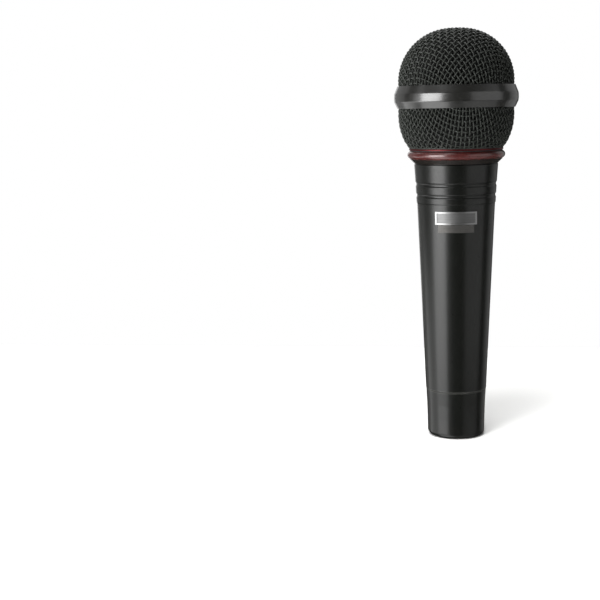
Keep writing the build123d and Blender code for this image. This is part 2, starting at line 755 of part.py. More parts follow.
def diaphragm_dome():
    """Thin round cap over the coil, with a flat flange glued to the surround."""
    base = DIAPHRAGM_Z + FILM
    inner_radius = (COIL_INNER_RADIUS**2 + DIAPHRAGM_RISE**2) / (2 * DIAPHRAGM_RISE)
    outer_radius = inner_radius + FILM
    centre = (0.0, base + DIAPHRAGM_RISE - inner_radius)
    under = arc(centre, inner_radius, 0, tilt_at(centre, inner_radius, base))
    over = arc(centre, outer_radius, tilt_at(centre, outer_radius, base + FILM), 0)
    flange = Polyline(
        under @ 1,
        at(SURROUND_INNER_RADIUS, base),
        at(SURROUND_INNER_RADIUS, base + FILM),
        over @ 0,
    )
    return turned(under, flange, over, Line(over @ 1, under @ 0))


def diaphragm_clamp():
    """Ring over the diaphragm's edge, undercut so that the edge can rise by its travel."""
    inner = SURROUND_OUTER_RADIUS + 0.1
    room_top = DIAPHRAGM_Z + FILM + DIAPHRAGM_TRAVEL + 0.05
    ring = tube(inner, CAPSULE_BORE - PLAY, DIAPHRAGM_Z, CLAMP_TOP_Z)
    room = tube(inner - 0.1, SURROUND_RIM_RADIUS + 0.05, DIAPHRAGM_Z - 0.1, room_top)
    return ring - room


# ---- Switch ----
def switch_plate():
    """Cover plate with the knob's slot and two countersunk holes."""
    plate = rounded_slab(PLATE_WIDTH, PLATE_LENGTH, -PLATE_THICKNESS, 0, PLATE_CORNER)
    plate -= rounded_slab(STEM_SLOT_WIDTH, STEM_SLOT_LENGTH, -PLATE_THICKNESS, 0, 0.8)
    sink = Cone(
        PLATE_SCREW_RADIUS, PLATE_SCREW_HEAD + 0.15, PLATE_THICKNESS, align=BOTTOM_UP
    )
    for cut in at_plate_screws(Pos(0, 0, -PLATE_THICKNESS) * sink):
        plate -= cut
    return on_switch_face(plate)


def switch_screws():
    """Two countersunk cross-head screws that hold the switch plate."""
    shank_radius = PLATE_SCREW_RADIUS - PLAY
    head_height = PLATE_THICKNESS - 0.1
    recess_length = 2.2
    recess_width = 0.5
    head = Cone(shank_radius, PLATE_SCREW_HEAD, head_height, align=BOTTOM_UP)
    screw = Pos(0, 0, -head_height) * head
    screw += disc(shank_radius, -PAD_DEPTH - 0.4, -head_height)
    screw -= Box(recess_length, recess_width, 1.0) + Box(recess_width, recess_length, 1.0)
    return Compound([on_switch_face(placed) for placed in at_plate_screws(screw)])


def switch_body():
    """Slide switch behind the plate, with a channel for the knob's stem and four tags."""
    top = -PLATE_THICKNESS
    bottom = top - SWITCH_DEPTH
    channel_depth = 2.4
    body = slab(SWITCH_WIDTH, SWITCH_LENGTH, bottom, top)
    body -= slab(STEM_SLOT_WIDTH, STEM_SLOT_LENGTH, top - channel_depth, 0)
    tag = slab(1.6, 0.5, bottom - SWITCH_TAG_LENGTH, bottom)
    for side in (-1, 1):
        for end in (-1, 1):
            body += Pos(side * SWITCH_TAG_X, end * SWITCH_TAG_Y, 0) * tag
    return on_switch_face(body)


def switch_knob():
    """Ribbed thumb slider, in its off place, with a stem that reaches into the switch."""
    rest = -SWITCH_TRAVEL / 2
    rib_pitch = 1.3
    groove_width = 0.5
    groove_depth = 0.35
    stem_low = -PLATE_THICKNESS - 2.0
    knob = rounded_slab(KNOB_WIDTH, KNOB_LENGTH, KNOB_GAP, KNOB_HEIGHT, 1.0)
    knob = chamfer(knob.faces().sort_by(Axis.Z)[-1].edges(), 0.45)
    groove = slab(2 * KNOB_WIDTH, groove_width, KNOB_HEIGHT - groove_depth, 2 * KNOB_HEIGHT)
    for step in range(-2, 3):
        knob -= Pos(0, step * rib_pitch, 0) * groove
    knob += slab(STEM_WIDTH, STEM_LENGTH, stem_low, KNOB_GAP + 0.5)
    return on_switch_face(Pos(0, rest, 0) * knob)


# ---- Badge ----
def grip_skin(width, low, high, inner_offset, outer_offset):
    """A patch of skin on the front of the grip, between two offsets from its surface."""
    window = slab(width, 2 * BALL_RADIUS, low, high)
    below = low - 1
    above = high + 1
    skin = turned_points(
        (grip_radius(below) + inner_offset, below),
        (grip_radius(below) + outer_offset, below),
        (grip_radius(above) + outer_offset, above),
        (grip_radius(above) + inner_offset, above),
    )
    return skin & (Pos(0, -BALL_RADIUS, 0) * window)


def badge_plate():
    """Plain name plate: a thin base with a raised border, no lettering."""
    base = grip_skin(BADGE_WIDTH, BADGE_LOW_Z, BADGE_HIGH_Z, 0, BADGE_BASE)
    frame = grip_skin(BADGE_WIDTH, BADGE_LOW_Z, BADGE_HIGH_Z, 0, BADGE_FRAME)
    opening = grip_skin(
        BADGE_WIDTH - 2 * BADGE_BORDER,
        BADGE_LOW_Z + BADGE_BORDER,
        BADGE_HIGH_Z - BADGE_BORDER,
        -1,
        2 * BADGE_FRAME,
    )
    return base + (frame - opening)


def badge_strip():
    return grip_skin(STRIP_WIDTH, STRIP_LOW_Z, BADGE_LOW_Z - STRIP_GAP, 0, BADGE_BASE)


# ---- Leads inside the handle ----
def lead(route, bend):
    """A round wire along straight runs joined by tangent arcs."""
    path = FilletPolyline(*route, radius=bend)
    return sweep((path ^ 0) * Circle(LEAD_RADIUS), path)


def switch_tag_tip(side, end):
    """Where a lead meets the free tip of one of the switch's tags."""
    depth = -PLATE_THICKNESS - SWITCH_DEPTH - SWITCH_TAG_LENGTH
    tag = Pos(side * SWITCH_TAG_X, end * SWITCH_TAG_Y, depth)
    return on_switch_face(tag).position - Vector(0, LEAD_RADIUS, 0)


def down(distance):
    return Vector(0, 0, -distance)


def capsule_leads():
    """Two leads from the capsule's tags down to the upper tags of the switch."""
    leads = []
    for side in (-1, 1):
        tag = Vector(side * TAG_SPACING / 2, 0, TAG_LOW_Z)
        tip = switch_tag_tip(-side, 1)
        leads.append(lead([tag, tag + down(6), tip - down(5), tip], 3.0))
    return Compound(leads)


def output_leads():
    """Two leads from the lower tags of the switch down to the connector's rear pins."""
    leads = []
    for side, place in zip((1, -1), at_pins(Pos(0, 0, PIN_TAIL_Z))):
        tip = switch_tag_tip(side, -1)
        pin = place.position
        waist = Vector(pin.X, 1.0, halfway(pin.Z, tip.Z))
        leads.append(lead([tip, tip + down(6), waist, pin - down(10), pin], 4.0))
    return Compound(leads)


PARTS = [
    handle_shell,
    neck_insert,
    tail_sleeve,
    insert_screw,
    connector_shell,
    connector_insulator,
    contact_pins,
    badge_plate,
    badge_strip,
    switch_plate,
    switch_screws,
    switch_body,
    switch_knob,
    shock_mount,
    capsule_shell,
    capsule_baffle,
    capsule_cap,
    acoustic_screen,
    rear_felt,
    terminal_board,
    terminal_tags,
    magnet_yoke,
    magnet,
    pole_plate,
    voice_coil,
    diaphragm_dome,
    diaphragm_surround,
    diaphragm_clamp,
    capsule_leads,
    output_leads,
    accent_ring,
    neck_gasket,
    grille_collar,
    mesh_bowl,
    mesh_dome,
    equator_band,
    band_inner_hoop,
    foam_dome,
    foam_bowl,
]

os.makedirs("parts", exist_ok=True)
for make in PARTS:
    node = make()
    node.label = make.__name__
    export_step(node, f"parts/{make.__name__}.step")
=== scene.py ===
import json
import math

import bpy
import numpy as np
from mathutils import Matrix, Vector, noise


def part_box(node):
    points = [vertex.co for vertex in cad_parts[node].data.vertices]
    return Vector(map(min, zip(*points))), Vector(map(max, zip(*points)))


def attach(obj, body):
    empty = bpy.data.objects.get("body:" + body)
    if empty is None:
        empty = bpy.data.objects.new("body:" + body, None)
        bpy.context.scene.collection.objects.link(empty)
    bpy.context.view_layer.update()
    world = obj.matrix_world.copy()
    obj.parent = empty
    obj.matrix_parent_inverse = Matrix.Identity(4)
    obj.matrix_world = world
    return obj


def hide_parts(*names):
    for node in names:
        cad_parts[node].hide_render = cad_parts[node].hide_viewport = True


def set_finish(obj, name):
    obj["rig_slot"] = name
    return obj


# The looks of a hand-held karaoke microphone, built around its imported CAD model. Metres, the
# CAD's own frame: +Z up the axis, the badge towards -Y, the on/off switch towards +Y.

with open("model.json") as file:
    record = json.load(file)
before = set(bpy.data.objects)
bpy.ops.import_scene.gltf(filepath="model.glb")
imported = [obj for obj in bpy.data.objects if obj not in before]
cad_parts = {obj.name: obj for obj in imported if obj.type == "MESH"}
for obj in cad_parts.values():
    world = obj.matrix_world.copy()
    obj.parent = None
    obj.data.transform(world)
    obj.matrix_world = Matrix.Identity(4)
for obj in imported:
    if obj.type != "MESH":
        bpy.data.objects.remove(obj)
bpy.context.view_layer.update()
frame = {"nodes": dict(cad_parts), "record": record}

MM = 0.001
NODES = frame["nodes"]

# ---- Shape of the grille ball, as in the CAD ----
BALL_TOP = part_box("mesh_dome")[1].z
BALL_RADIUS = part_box("mesh_dome")[1].x
BALL_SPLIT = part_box("mesh_dome")[0].z  # where the two halves of the ball meet
BOWL_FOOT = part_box("mesh_bowl")[0].z
CROWN_RADIUS = 44.8 * MM
SHOULDER_RADIUS = 22.85 * MM
BOWL_ARC_RADIUS = 25.5 * MM
BOWL_ARC_HEIGHT = 143.5 * MM
QUARTER = math.pi / 2

# ---- Other places on the CAD model ----
SEAM_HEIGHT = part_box("handle_shell")[0].z  # joint between the handle and the tail sleeve
SEAM_RADIUS = 13.5 * MM
GRIP_TAPER = 0.04329  # radius gained per height
RING_SKIRT_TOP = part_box("accent_ring")[1].z - 3.4 * MM  # line between its bead and its skirt

# ---- Woven wire ----
WIRE_PITCH = 2.25 * MM  # in the flat mesh, before pressing
WIRE_RADIUS = 0.33 * MM
WIRE_SIDES = 10
STEPS_PER_CELL = 6
WIRE_WANDER = 0.05 * MM  # how far a wire strays sideways
WANDER_LENGTH = 9 * MM
EDGE_CRIMP = 0.3  # share of the weave's depth left at the edges of the mesh
DOME_TURN = math.radians(-45)  # how the square mesh lies round the axis
BOWL_TURN = math.radians(-80)
HEM_HEIGHT = 4.0 * MM  # pressed edge under the band
HEM_THICKNESS = 0.5 * MM
HEM_SEGMENTS = 128
FOOT_HEM_HEIGHT = 0.9 * MM

# ---- Foam behind the wire ----
FOAM_SKIN = 3.7 * MM  # from the ball's outside to the foam's inner face
FOAM_GAP = 0.1 * MM
FOAM_STEP = 0.5 * MM
FOAM_CELL = 0.9 * MM
FOAM_ROUGHNESS = 0.22 * MM
FOAM_WAVE = 6 * MM

# ---- Studio: where each light stands, as seen from the handle ----
LIGHT_AIM = Vector((0, 0, 0.1))
LIGHT_DISTANCE = 0.9
ROOM_LIGHT = (0.022, 0.023, 0.021)
FLOOR_GLOW = 0.02
SOFTBOXES = [
    # name, azimuth, elevation, width, height (degrees), radiance
    ("key_softbox", -46, 7, 39, 28, 5.9),
    ("key_top_softbox", -60, 66, 40, 24, 3.0),
    ("key_low_softbox", -53, -15, 40, 18, 3.1),
    ("key_under_softbox", -52, -52, 44, 44, 1.5),
    ("key_edge_softbox", -76, 10, 16, 60, 0.4),
    ("left_wall_softbox", -128, 5, 40, 60, 0.26),
    ("left_low_softbox", -98, -22, 50, 20, 0.9),
    ("right_fill_softbox", 60, 8, 64, 60, 0.45),
    ("right_under_softbox", 62, -52, 56, 44, 0.28),
    ("right_wall_softbox", 135, 5, 40, 60, 0.25),
    ("back_softbox", -166, 12, 26, 50, 0.8),
    ("top_softbox", -160, 62, 60, 40, 2.2),
]
FLOOR_SOFTBOXES = [
    ("floor_key_softbox", -9, 65, 22, 22, 17.5),
    ("floor_left_softbox", -26, 40, 12, 40, 6.0),
]


# ---- Meshes from code ----
def new_piece(name, points, faces, smooth=True):
    mesh = bpy.data.meshes.new(name)
    mesh.from_pydata(points, [], faces)
    mesh.validate()
    mesh.polygons.foreach_set("use_smooth", [smooth] * len(mesh.polygons))
    mesh.update()
    piece = bpy.data.objects.new(name, mesh)
    bpy.context.scene.collection.objects.link(piece)
    return piece


def revolved(name, profile, segments):
    """A closed solid turned about the axis. Profile points are (radius, height); one on the axis
    becomes a single point."""
    points = []
    rings = []
    for radius, height in profile:
        start = len(points)
        if radius < 1e-7:
            points.append((0.0, 0.0, height))
            rings.append([start] * segments)
            continue
        for step in range(segments):
            angle = 2 * math.pi * step / segments
            points.append((radius * math.cos(angle), radius * math.sin(angle), height))
        rings.append(list(range(start, start + segments)))
    faces = []
    for ring, after in zip(rings, rings[1:] + rings[:1]):
        for step in range(segments):
            following = (step + 1) % segments
            corners = [ring[step], after[step], after[following], ring[following]]
            corners = list(dict.fromkeys(corners))
            if len(corners) > 2:
                faces.append(corners)
    return new_piece(name, points, faces)


def tubes(name, paths, radius, sides):
    """One mesh of closed round tubes. Each path is its points and the surface normals there."""
    angles = np.arange(sides) * 2 * math.pi / sides
    points = []
    faces = []
    for centres, normals in paths:
        along = np.gradient(centres, axis=0)
        along /= np.linalg.norm(along, axis=1, keepdims=True)
        across = np.cross(along, normals)
        across /= np.linalg.norm(across, axis=1, keepdims=True)
        upright = np.cross(across, along)
        rings = (
            centres[:, None, :]
            + radius * np.cos(angles)[None, :, None] * upright[:, None, :]
            + radius * np.sin(angles)[None, :, None] * across[:, None, :]
        )
        start = sum(len(block) for block in points)
        points.append(rings.reshape(-1, 3))
        for step in range(len(centres) - 1):
            low = start + step * sides
            high = low + sides
            for side in range(sides):
                following = (side + 1) % sides
                faces.append((low + side, low + following, high + following, high + side))
        last = start + (len(centres) - 1) * sides
        faces.append(tuple(range(start + sides - 1, start - 1, -1)))
        faces.append(tuple(range(last, last + sides)))
    return new_piece(name, np.concatenate(points).tolist(), faces)


# ---- The ball's surface ----
def dome_arcs(inset):
    """The dome's arcs from its pole: centre radius, centre height, arc radius, leans at the ends."""
    apart = CROWN_RADIUS - SHOULDER_RADIUS
    shoulder_centre = BALL_RADIUS - SHOULDER_RADIUS
    lean = math.asin(shoulder_centre / apart)
    crown_height = BALL_TOP - CROWN_RADIUS
    shoulder_height = crown_height + apart * math.cos(lean)
    return [
        (0.0, crown_height, CROWN_RADIUS - inset, 0.0, lean),
        (shoulder_centre, shoulder_height, SHOULDER_RADIUS - inset, lean, QUARTER),
    ]


def bowl_arcs(inset):
    """The bowl's arc, carried on to the axis below the neck, from where its wires spread."""
    radius = BOWL_ARC_RADIUS - inset
    centre = BALL_RADIUS - BOWL_ARC_RADIUS
    return [(centre, BOWL_ARC_HEIGHT, radius, math.asin(-centre / radius), QUARTER)]


def on_surface(reach, arcs, up):
    """Radius, height and lean of the surface at an arc length from the pole. Past the last arc
    the surface runs on as a straight wall."""
    radius = np.zeros_like(reach)
    height = np.zeros_like(reach)
    lean = np.zeros_like(reach)
    start = 0.0
    for centre_radius, centre_height, arc_radius, lean_from, lean_to in arcs:
        here = np.clip(lean_from + (reach - start) / arc_radius, lean_from, lean_to)
        inside = reach >= start
        radius = np.where(inside, centre_radius + arc_radius * np.sin(here), radius)
        height = np.where(inside, centre_height + up * arc_radius * np.cos(here), height)
        lean = np.where(inside, here, lean)
        start += arc_radius * (lean_to - lean_from)
    height = height - up * np.clip(reach - start, 0, None)
    return radius, height, lean


def reach_at(height, arcs, up):
    """The arc length from the pole at which the surface passes a height."""
    reaches = np.linspace(0, 80 * MM, 4000)
    heights = on_surface(reaches, arcs, up)[1]
    return float(np.interp(-up * height, -up * heights, reaches))


# ---- Woven wire grille ----
def smooth_step(values, low, high):
    share = np.clip((values - low) / (high - low), 0, 1)
    return share * share * (3 - 2 * share)


def wire_spans(offset, inner, outer):
    """The stretches of a straight wire, that far from the pole, between two arc lengths from it."""
    far = math.sqrt(outer**2 - offset**2)
    near = math.sqrt(max(inner**2 - offset**2, 0.0))
    spans = [(-far, -near), (near, far)] if near > 0 else [(-far, far)]
    return [(low, high) for low, high in spans if high - low >= WIRE_PITCH / 2]


def weave_height(along, reach, inner, outer, phase):
    """How far a wire rises over and dips under its neighbours, less so towards the mesh's edges."""
    rise = np.cos(math.pi * (along / WIRE_PITCH + phase))
    edge = np.minimum(outer - reach, reach - inner if inner > 0 else outer)
    crimp = EDGE_CRIMP + (1 - EDGE_CRIMP) * smooth_step(edge, 0.5 * MM, 3 * MM)
    return rise * (WIRE_RADIUS * crimp)


def wire_paths(arcs, up, turn, inner, outer, family):
    """One family of wires of a square plain weave pressed over the surface. Each wire starts as
    a straight line of the flat mesh; it is kept between two arc lengths from the pole."""
    paths = []
    count = int(outer / WIRE_PITCH)
    for number in range(-count, count + 1):
        offset = number * WIRE_PITCH
        for low, high in wire_spans(offset, inner, outer):
            steps = max(4, round((high - low) / WIRE_PITCH * STEPS_PER_CELL))
            along = np.linspace(low, high, steps + 1)
            wander = WIRE_WANDER * np.sin(along / WANDER_LENGTH + 2.4 * number + family)
            across = offset + wander
            reach = np.hypot(across, along)
            angle = np.arctan2(across, along) if family else np.arctan2(along, across)
            angle = angle + turn
            radius, height, lean = on_surface(reach, arcs, up)
            rise = weave_height(along, reach, inner, outer, number + family)
            normals = np.stack(
                [np.sin(lean) * np.cos(angle), np.sin(lean) * np.sin(angle), up * np.cos(lean)],
                axis=1,
            )
            centres = np.stack([radius * np.cos(angle), radius * np.sin(angle), height], axis=1)
            paths.append((centres + rise[:, None] * normals, normals))
    return paths


def hem(name, low, high):
    """Flattened edge of a half of the grille, where its wires end inside the band."""
    outer = BALL_RADIUS - 0.03 * MM
    inner = outer - HEM_THICKNESS
    soft = 0.12 * MM
    profile = [
        (inner + soft, low),
        (outer - soft, low),
        (outer, low + soft),
        (outer, high - soft),
        (outer - soft, high),
        (inner + soft, high),
        (inner, high - soft),
        (inner, low + soft),
    ]
    return revolved(name, profile, HEM_SEGMENTS)


def foot_hem():
    """Rolled lower edge of the bowl, sitting on the collar's flange."""
    roll = FOOT_HEM_HEIGHT / 2
    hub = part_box("grille_collar")[1].x
    centre = hub - 0.9 * roll
    width = 0.85 * roll
    corners = 12
    profile = []
    for step in range(corners):
        angle = 2 * math.pi * step / corners
        height = BOWL_FOOT + roll - roll * math.sin(angle)
        profile.append((centre + width * math.cos(angle), height))
    return revolved("grille_bowl_foot_hem", profile, HEM_SEGMENTS)


def build_grille():
    pieces = []
    halves = [
        ("dome", dome_arcs(2 * WIRE_RADIUS), 1, DOME_TURN),
        ("bowl", bowl_arcs(2 * WIRE_RADIUS), -1, BOWL_TURN),
    ]
    for half, arcs, up, turn in halves:
        hem_edge = BALL_SPLIT + up * (HEM_HEIGHT - 0.5 * MM)
        outer = reach_at(hem_edge, arcs, up)
        inner = 0.0 if half == "dome" else reach_at(BOWL_FOOT + 0.5 * MM, arcs, up)
        for family, thread in enumerate(("warp", "weft")):
            paths = wire_paths(arcs, up, turn, inner, outer, family)
            piece = tubes(f"grille_{half}_{thread}", paths, WIRE_RADIUS, WIRE_SIDES)
            pieces.append((piece, f"mesh_{half}"))
    gap = 0.05 * MM
    pieces.append((hem("grille_dome_hem", BALL_SPLIT + gap, BALL_SPLIT + HEM_HEIGHT), "mesh_dome"))
    pieces.append((hem("grille_bowl_hem", BALL_SPLIT - HEM_HEIGHT, BALL_SPLIT - 2 * gap), "mesh_bowl"))
    pieces.append((foot_hem(), "mesh_bowl"))
    for piece, node in pieces:
        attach(piece, "grille_head")
        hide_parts(node)
        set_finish(piece, "grille_wire")
    return [piece for piece, node in pieces]


# ---- Foam windshield ----
def foam_profile(arcs_of, up, edge, foot):
    """Outline of a foam half: out along its outer face and back along its inner one."""
    outer_arcs = arcs_of(4 * WIRE_RADIUS + FOAM_GAP + FOAM_ROUGHNESS)
    inner_arcs = arcs_of(FOAM_SKIN)
    profile = []
    for arcs, order in ((outer_arcs, 1), (inner_arcs, -1)):
        far = reach_at(edge, arcs, up)
        near = 0.0 if foot is None else reach_at(foot, arcs, up)
        count = round((far - near) / FOAM_STEP)
        radius, height, _ = on_surface(np.linspace(near, far, count + 1), arcs, up)
        radius = np.clip(radius, 0, None)
        profile += list(zip(radius.tolist(), height.tolist()))[::order]
    return profile


def roughen(mesh):
    """Moves the surface in and out as the open cells of foam do, with slow waves over them."""
    moved = []
    for vertex in mesh.vertices:
        distances, _ = noise.voronoi(vertex.co / FOAM_CELL)
        depth = min(distances[0] / 0.7, 1.0)
        wobble = 0.35 * noise.noise(vertex.co / FOAM_WAVE)
        shift = FOAM_ROUGHNESS * (depth - 0.6 + wobble)
        shift = max(-FOAM_ROUGHNESS, min(FOAM_ROUGHNESS, shift))
        moved += list(vertex.co + vertex.normal * shift)
    mesh.vertices.foreach_set("co", moved)
    mesh.update()


def foam_piece(name, node, arcs_of, up, edge, foot):
    """A foam shell that follows the wire, with an open-cell surface in its geometry."""
    segments = round(2 * math.pi * BALL_RADIUS / FOAM_STEP)
    piece = revolved(name, foam_profile(arcs_of, up, edge, foot), segments)
    roughen(piece.data)
    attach(piece, "grille_head")
    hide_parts(node)
    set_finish(piece, "foam")
    return piece


def build_foam():
    dome_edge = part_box("foam_dome")[0].z
    bowl_low, bowl_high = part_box("foam_bowl")
    return [
        foam_piece("foam_lining_dome", "foam_dome", dome_arcs, 1, dome_edge, None),
        foam_piece("foam_lining_bowl", "foam_bowl", bowl_arcs, -1, bowl_high.z, bowl_low.z),
    ]


# ---- Materials ----
class Finish:
    """A procedural material built up in layers over the object's own coordinates."""

    def __init__(self, name, colour, roughness, metallic=0.0, **sockets):
        self.material = bpy.data.materials.new(name)
        self.material.use_nodes = True
        self.tree = self.material.node_tree
        self.shader = self.tree.nodes["Principled BSDF"]
        self.place = self.add("ShaderNodeTexCoord").outputs["Object"]
        self.shader.inputs["Base Color"].default_value = (*colour, 1)
        self.shader.inputs["Roughness"].default_value = roughness
        self.shader.inputs["Metallic"].default_value = metallic
        for socket, value in sockets.items():
            self.shader.inputs[socket.replace("_", " ")].default_value = value

    def add(self, kind, **values):
        node = self.tree.nodes.new(kind)
        for key, value in values.items():
            setattr(node, key, value)
        return node

    def feed(self, socket, value):
        if isinstance(value, bpy.types.NodeSocket):
            self.tree.links.new(value, socket)
        else:
            socket.default_value = value

    def math(self, operation, first, second=0.0, third=0.0):
        node = self.add("ShaderNodeMath", operation=operation)
        for socket, value in zip(node.inputs, (first, second, third)):
            self.feed(socket, value)
        return node.outputs[0]

    def stretched(self, x, y, z):
        """Coordinates scaled along each axis, for grain with a direction."""
        node = self.add("ShaderNodeVectorMath", operation="MULTIPLY")
        self.feed(node.inputs[0], self.place)
        node.inputs[1].default_value = (x, y, z)
        return node.outputs[0]

    def noise(self, size, detail=2.0, place=None):
        node = self.add("ShaderNodeTexNoise")
        self.feed(node.inputs["Vector"], place or self.place)
        node.inputs["Scale"].default_value = 1 / size
        node.inputs["Detail"].default_value = detail
        return node.outputs["Fac"]

    def cells(self, size, output="Distance"):
        node = self.add("ShaderNodeTexVoronoi")
        self.feed(node.inputs["Vector"], self.place)
        node.inputs["Scale"].default_value = 1 / size
        return node.outputs[output]

    def split(self):
        """The object's coordinates, one by one."""
        node = self.add("ShaderNodeSeparateXYZ")
        self.feed(node.inputs[0], self.place)
        return node.outputs

    def radius(self):
        x, y, _ = self.split()
        squares = self.math("ADD", self.math("MULTIPLY", x, x), self.math("MULTIPLY", y, y))
        return self.math("SQRT", squares)

    def turning_marks(self, pitch):
        """Fine rings round the axis, on faces and on walls, as a lathe leaves them. 0 to 1."""
        along = self.math("ADD", self.radius(), self.split()[2])
        wobble = self.math("MULTIPLY", self.noise(3 * MM), 0.4 * pitch)
        turns = self.math("MULTIPLY", self.math("ADD", along, wobble), 2 * math.pi / pitch)
        wave = self.math("SINE", turns)
        return self.math("MULTIPLY_ADD", wave, 0.5, 0.5)

    def ramp(self, value, low, high, to_low=0.0, to_high=1.0):
        """Maps low..high to to_low..to_high, and stays at either end beyond them."""
        node = self.add("ShaderNodeMapRange")
        for socket, given in zip(node.inputs, (value, low, high, to_low, to_high)):
            self.feed(socket, given)
        return node.outputs[0]

    def tint(self, factor, low, high):
        """Makes the colour run from low to high, each a colour or an earlier tint."""
        node = self.add("ShaderNodeMix", data_type="RGBA")
        self.feed(node.inputs["Factor"], factor)
        for index, colour in ((6, low), (7, high)):
            if isinstance(colour, tuple):
                colour = (*colour, 1)
            self.feed(node.inputs[index], colour)
        self.feed(self.shader.inputs["Base Color"], node.outputs[2])
        return node.outputs[2]

    def shine(self, factor, low, high):
        """Makes the roughness run from low to high."""
        self.feed(self.shader.inputs["Roughness"], self.ramp(factor, 0.0, 1.0, low, high))

    def relief(self, height, depth):
        """Adds bumps of about that depth, on top of any added before."""
        node = self.add("ShaderNodeBump")
        node.inputs["Distance"].default_value = depth
        self.feed(node.inputs["Height"], height)
        before = self.shader.inputs["Normal"].links
        if before:
            self.tree.links.new(before[0].from_socket, node.inputs["Normal"])
        self.tree.links.new(node.outputs["Normal"], self.shader.inputs["Normal"])


def satin_black_paint():
    """Smooth satin lacquer with a faint orange peel, and a painted highlight along the tail's seam
    where its edge catches the light.
    """
    finish = Finish(
        "satin_black_paint", (0.005, 0.0055, 0.0045), 0.3, Coat_Weight=0.25, Coat_Roughness=0.2
    )
    blotches = finish.noise(9 * MM, detail=3.0)
    paint = finish.tint(blotches, (0.004, 0.0046, 0.0036), (0.0065, 0.0072, 0.006))
    # Painted highlight: a ragged lighter line along the seam above the tail sleeve, for the light its
    # edge catches.
    from_seam = finish.math("ABSOLUTE", finish.math("SUBTRACT", finish.split()[2], SEAM_HEIGHT))
    ragged = finish.math("MULTIPLY_ADD", finish.noise(0.8 * MM, detail=3.0), 0.5 * MM, from_seam)
    wear_and_highlight = finish.ramp(ragged, 0.95 * MM, 0.4 * MM)
    finish.tint(wear_and_highlight, paint, (0.045, 0.046, 0.042))
    finish.shine(finish.noise(1.1 * MM, detail=4.0), 0.24, 0.36)
    finish.relief(finish.noise(0.9 * MM, detail=2.0), 0.006 * MM)
    finish.relief(finish.noise(0.16 * MM, detail=1.0), 0.0025 * MM)
    return finish.material


def grille_wire():
    """Black powder coat over steel wire, in faintly varying tones."""
    finish = Finish("grille_wire", (0.022, 0.023, 0.021), 0.4)
    grain = finish.noise(0.35 * MM, detail=3.0)
    finish.tint(finish.noise(4 * MM), (0.021, 0.025, 0.021), (0.036, 0.040, 0.034))
    finish.shine(grain, 0.32, 0.52)
    finish.relief(grain, 0.02 * MM)
    return finish.material


def gloss_black_band():
    """Thick gloss enamel over plating, brighter in its reflections than the paint below it."""
    finish = Finish(
        "gloss_black_band", (0.012, 0.012, 0.011), 0.3,
        IOR=1.9, Coat_Weight=1.0, Coat_Roughness=0.17,
    )
    finish.tint(finish.noise(6 * MM), (0.010, 0.010, 0.009), (0.016, 0.016, 0.014))
    finish.shine(finish.noise(4 * MM, detail=2.0), 0.27, 0.33)
    finish.relief(finish.noise(6 * MM, detail=0.0), 0.008 * MM)
    return finish.material


def red_metallic():
    """Clear-coated red lacquer with fine metal flake on the bead, over a black skirt."""
    finish = Finish(
        "red_metallic", (0.1, 0.016, 0.016), 0.3, metallic=0.2, IOR=1.8,
        Coat_Weight=1.0, Coat_Roughness=0.12,
    )
    flakes = finish.cells(0.14 * MM, output="Color")
    grey = finish.add("ShaderNodeRGBToBW")
    finish.feed(grey.inputs[0], flakes)
    height = finish.math("MULTIPLY_ADD", finish.noise(0.7 * MM), 0.1 * MM, finish.split()[2])
    bead = finish.ramp(height, RING_SKIRT_TOP, RING_SKIRT_TOP + 0.25 * MM)
    lacquer = finish.tint(grey.outputs[0], (0.05, 0.008, 0.007), (0.15, 0.022, 0.019))
    finish.tint(bead, (0.014, 0.010, 0.008), lacquer)
    finish.shine(grey.outputs[0], 0.24, 0.4)
    finish.relief(grey.outputs[0], 0.01 * MM)
    return finish.material


def collar_lacquer():
    """Black plating, with dark red lacquer on the rim that shows above the ring."""
    finish = Finish("collar_lacquer", (0.03, 0.02, 0.02), 0.36, metallic=0.7)
    plating = finish.tint(finish.noise(4 * MM, detail=3.0), (0.03, 0.03, 0.03), (0.06, 0.06, 0.058))
    rim = finish.ramp(finish.radius(), 20.1 * MM, 20.3 * MM)
    finish.tint(rim, plating, (0.10, 0.012, 0.014))
    finish.shine(finish.noise(0.7 * MM, detail=3.0), 0.3, 0.46)
    finish.relief(finish.turning_marks(0.2 * MM), 0.01 * MM)
    return finish.material


def zinc_plate():
    finish = Finish("zinc_plate", (0.5, 0.5, 0.49), 0.34, metallic=1.0)
    finish.tint(finish.noise(5 * MM, detail=4.0), (0.40, 0.40, 0.38), (0.60, 0.60, 0.61))
    finish.shine(finish.noise(0.9 * MM, detail=3.0), 0.26, 0.46)
    finish.relief(finish.turning_marks(0.22 * MM), 0.012 * MM)
    return finish.material


def neck_metal():
    finish = Finish("neck_metal", (0.6, 0.6, 0.6), 0.28, metallic=1.0)
    finish.tint(finish.noise(7 * MM, detail=3.0), (0.54, 0.54, 0.55), (0.68, 0.68, 0.67))
    finish.shine(finish.noise(0.6 * MM, detail=3.0), 0.2, 0.36)
    finish.relief(finish.turning_marks(0.18 * MM), 0.01 * MM)
    return finish.material


def foam():
    """Charcoal open-cell foam, with painted shade darkening the pits between the cell walls."""
    finish = Finish("foam", (0.012, 0.012, 0.012), 0.95, Sheen_Weight=0.15, Sheen_Roughness=0.6)
    cells = finish.cells(0.6 * MM)
    walls_and_pit_shade = finish.ramp(cells, 0.1, 0.7)
    # Painted shade: the pits are coloured darker than the cell walls.
    finish.tint(walls_and_pit_shade, (0.003, 0.003, 0.003), (0.014, 0.014, 0.013))
    finish.relief(walls_and_pit_shade, 0.25 * MM)
    finish.relief(finish.noise(0.2 * MM, detail=3.0), 0.08 * MM)
    return finish.material


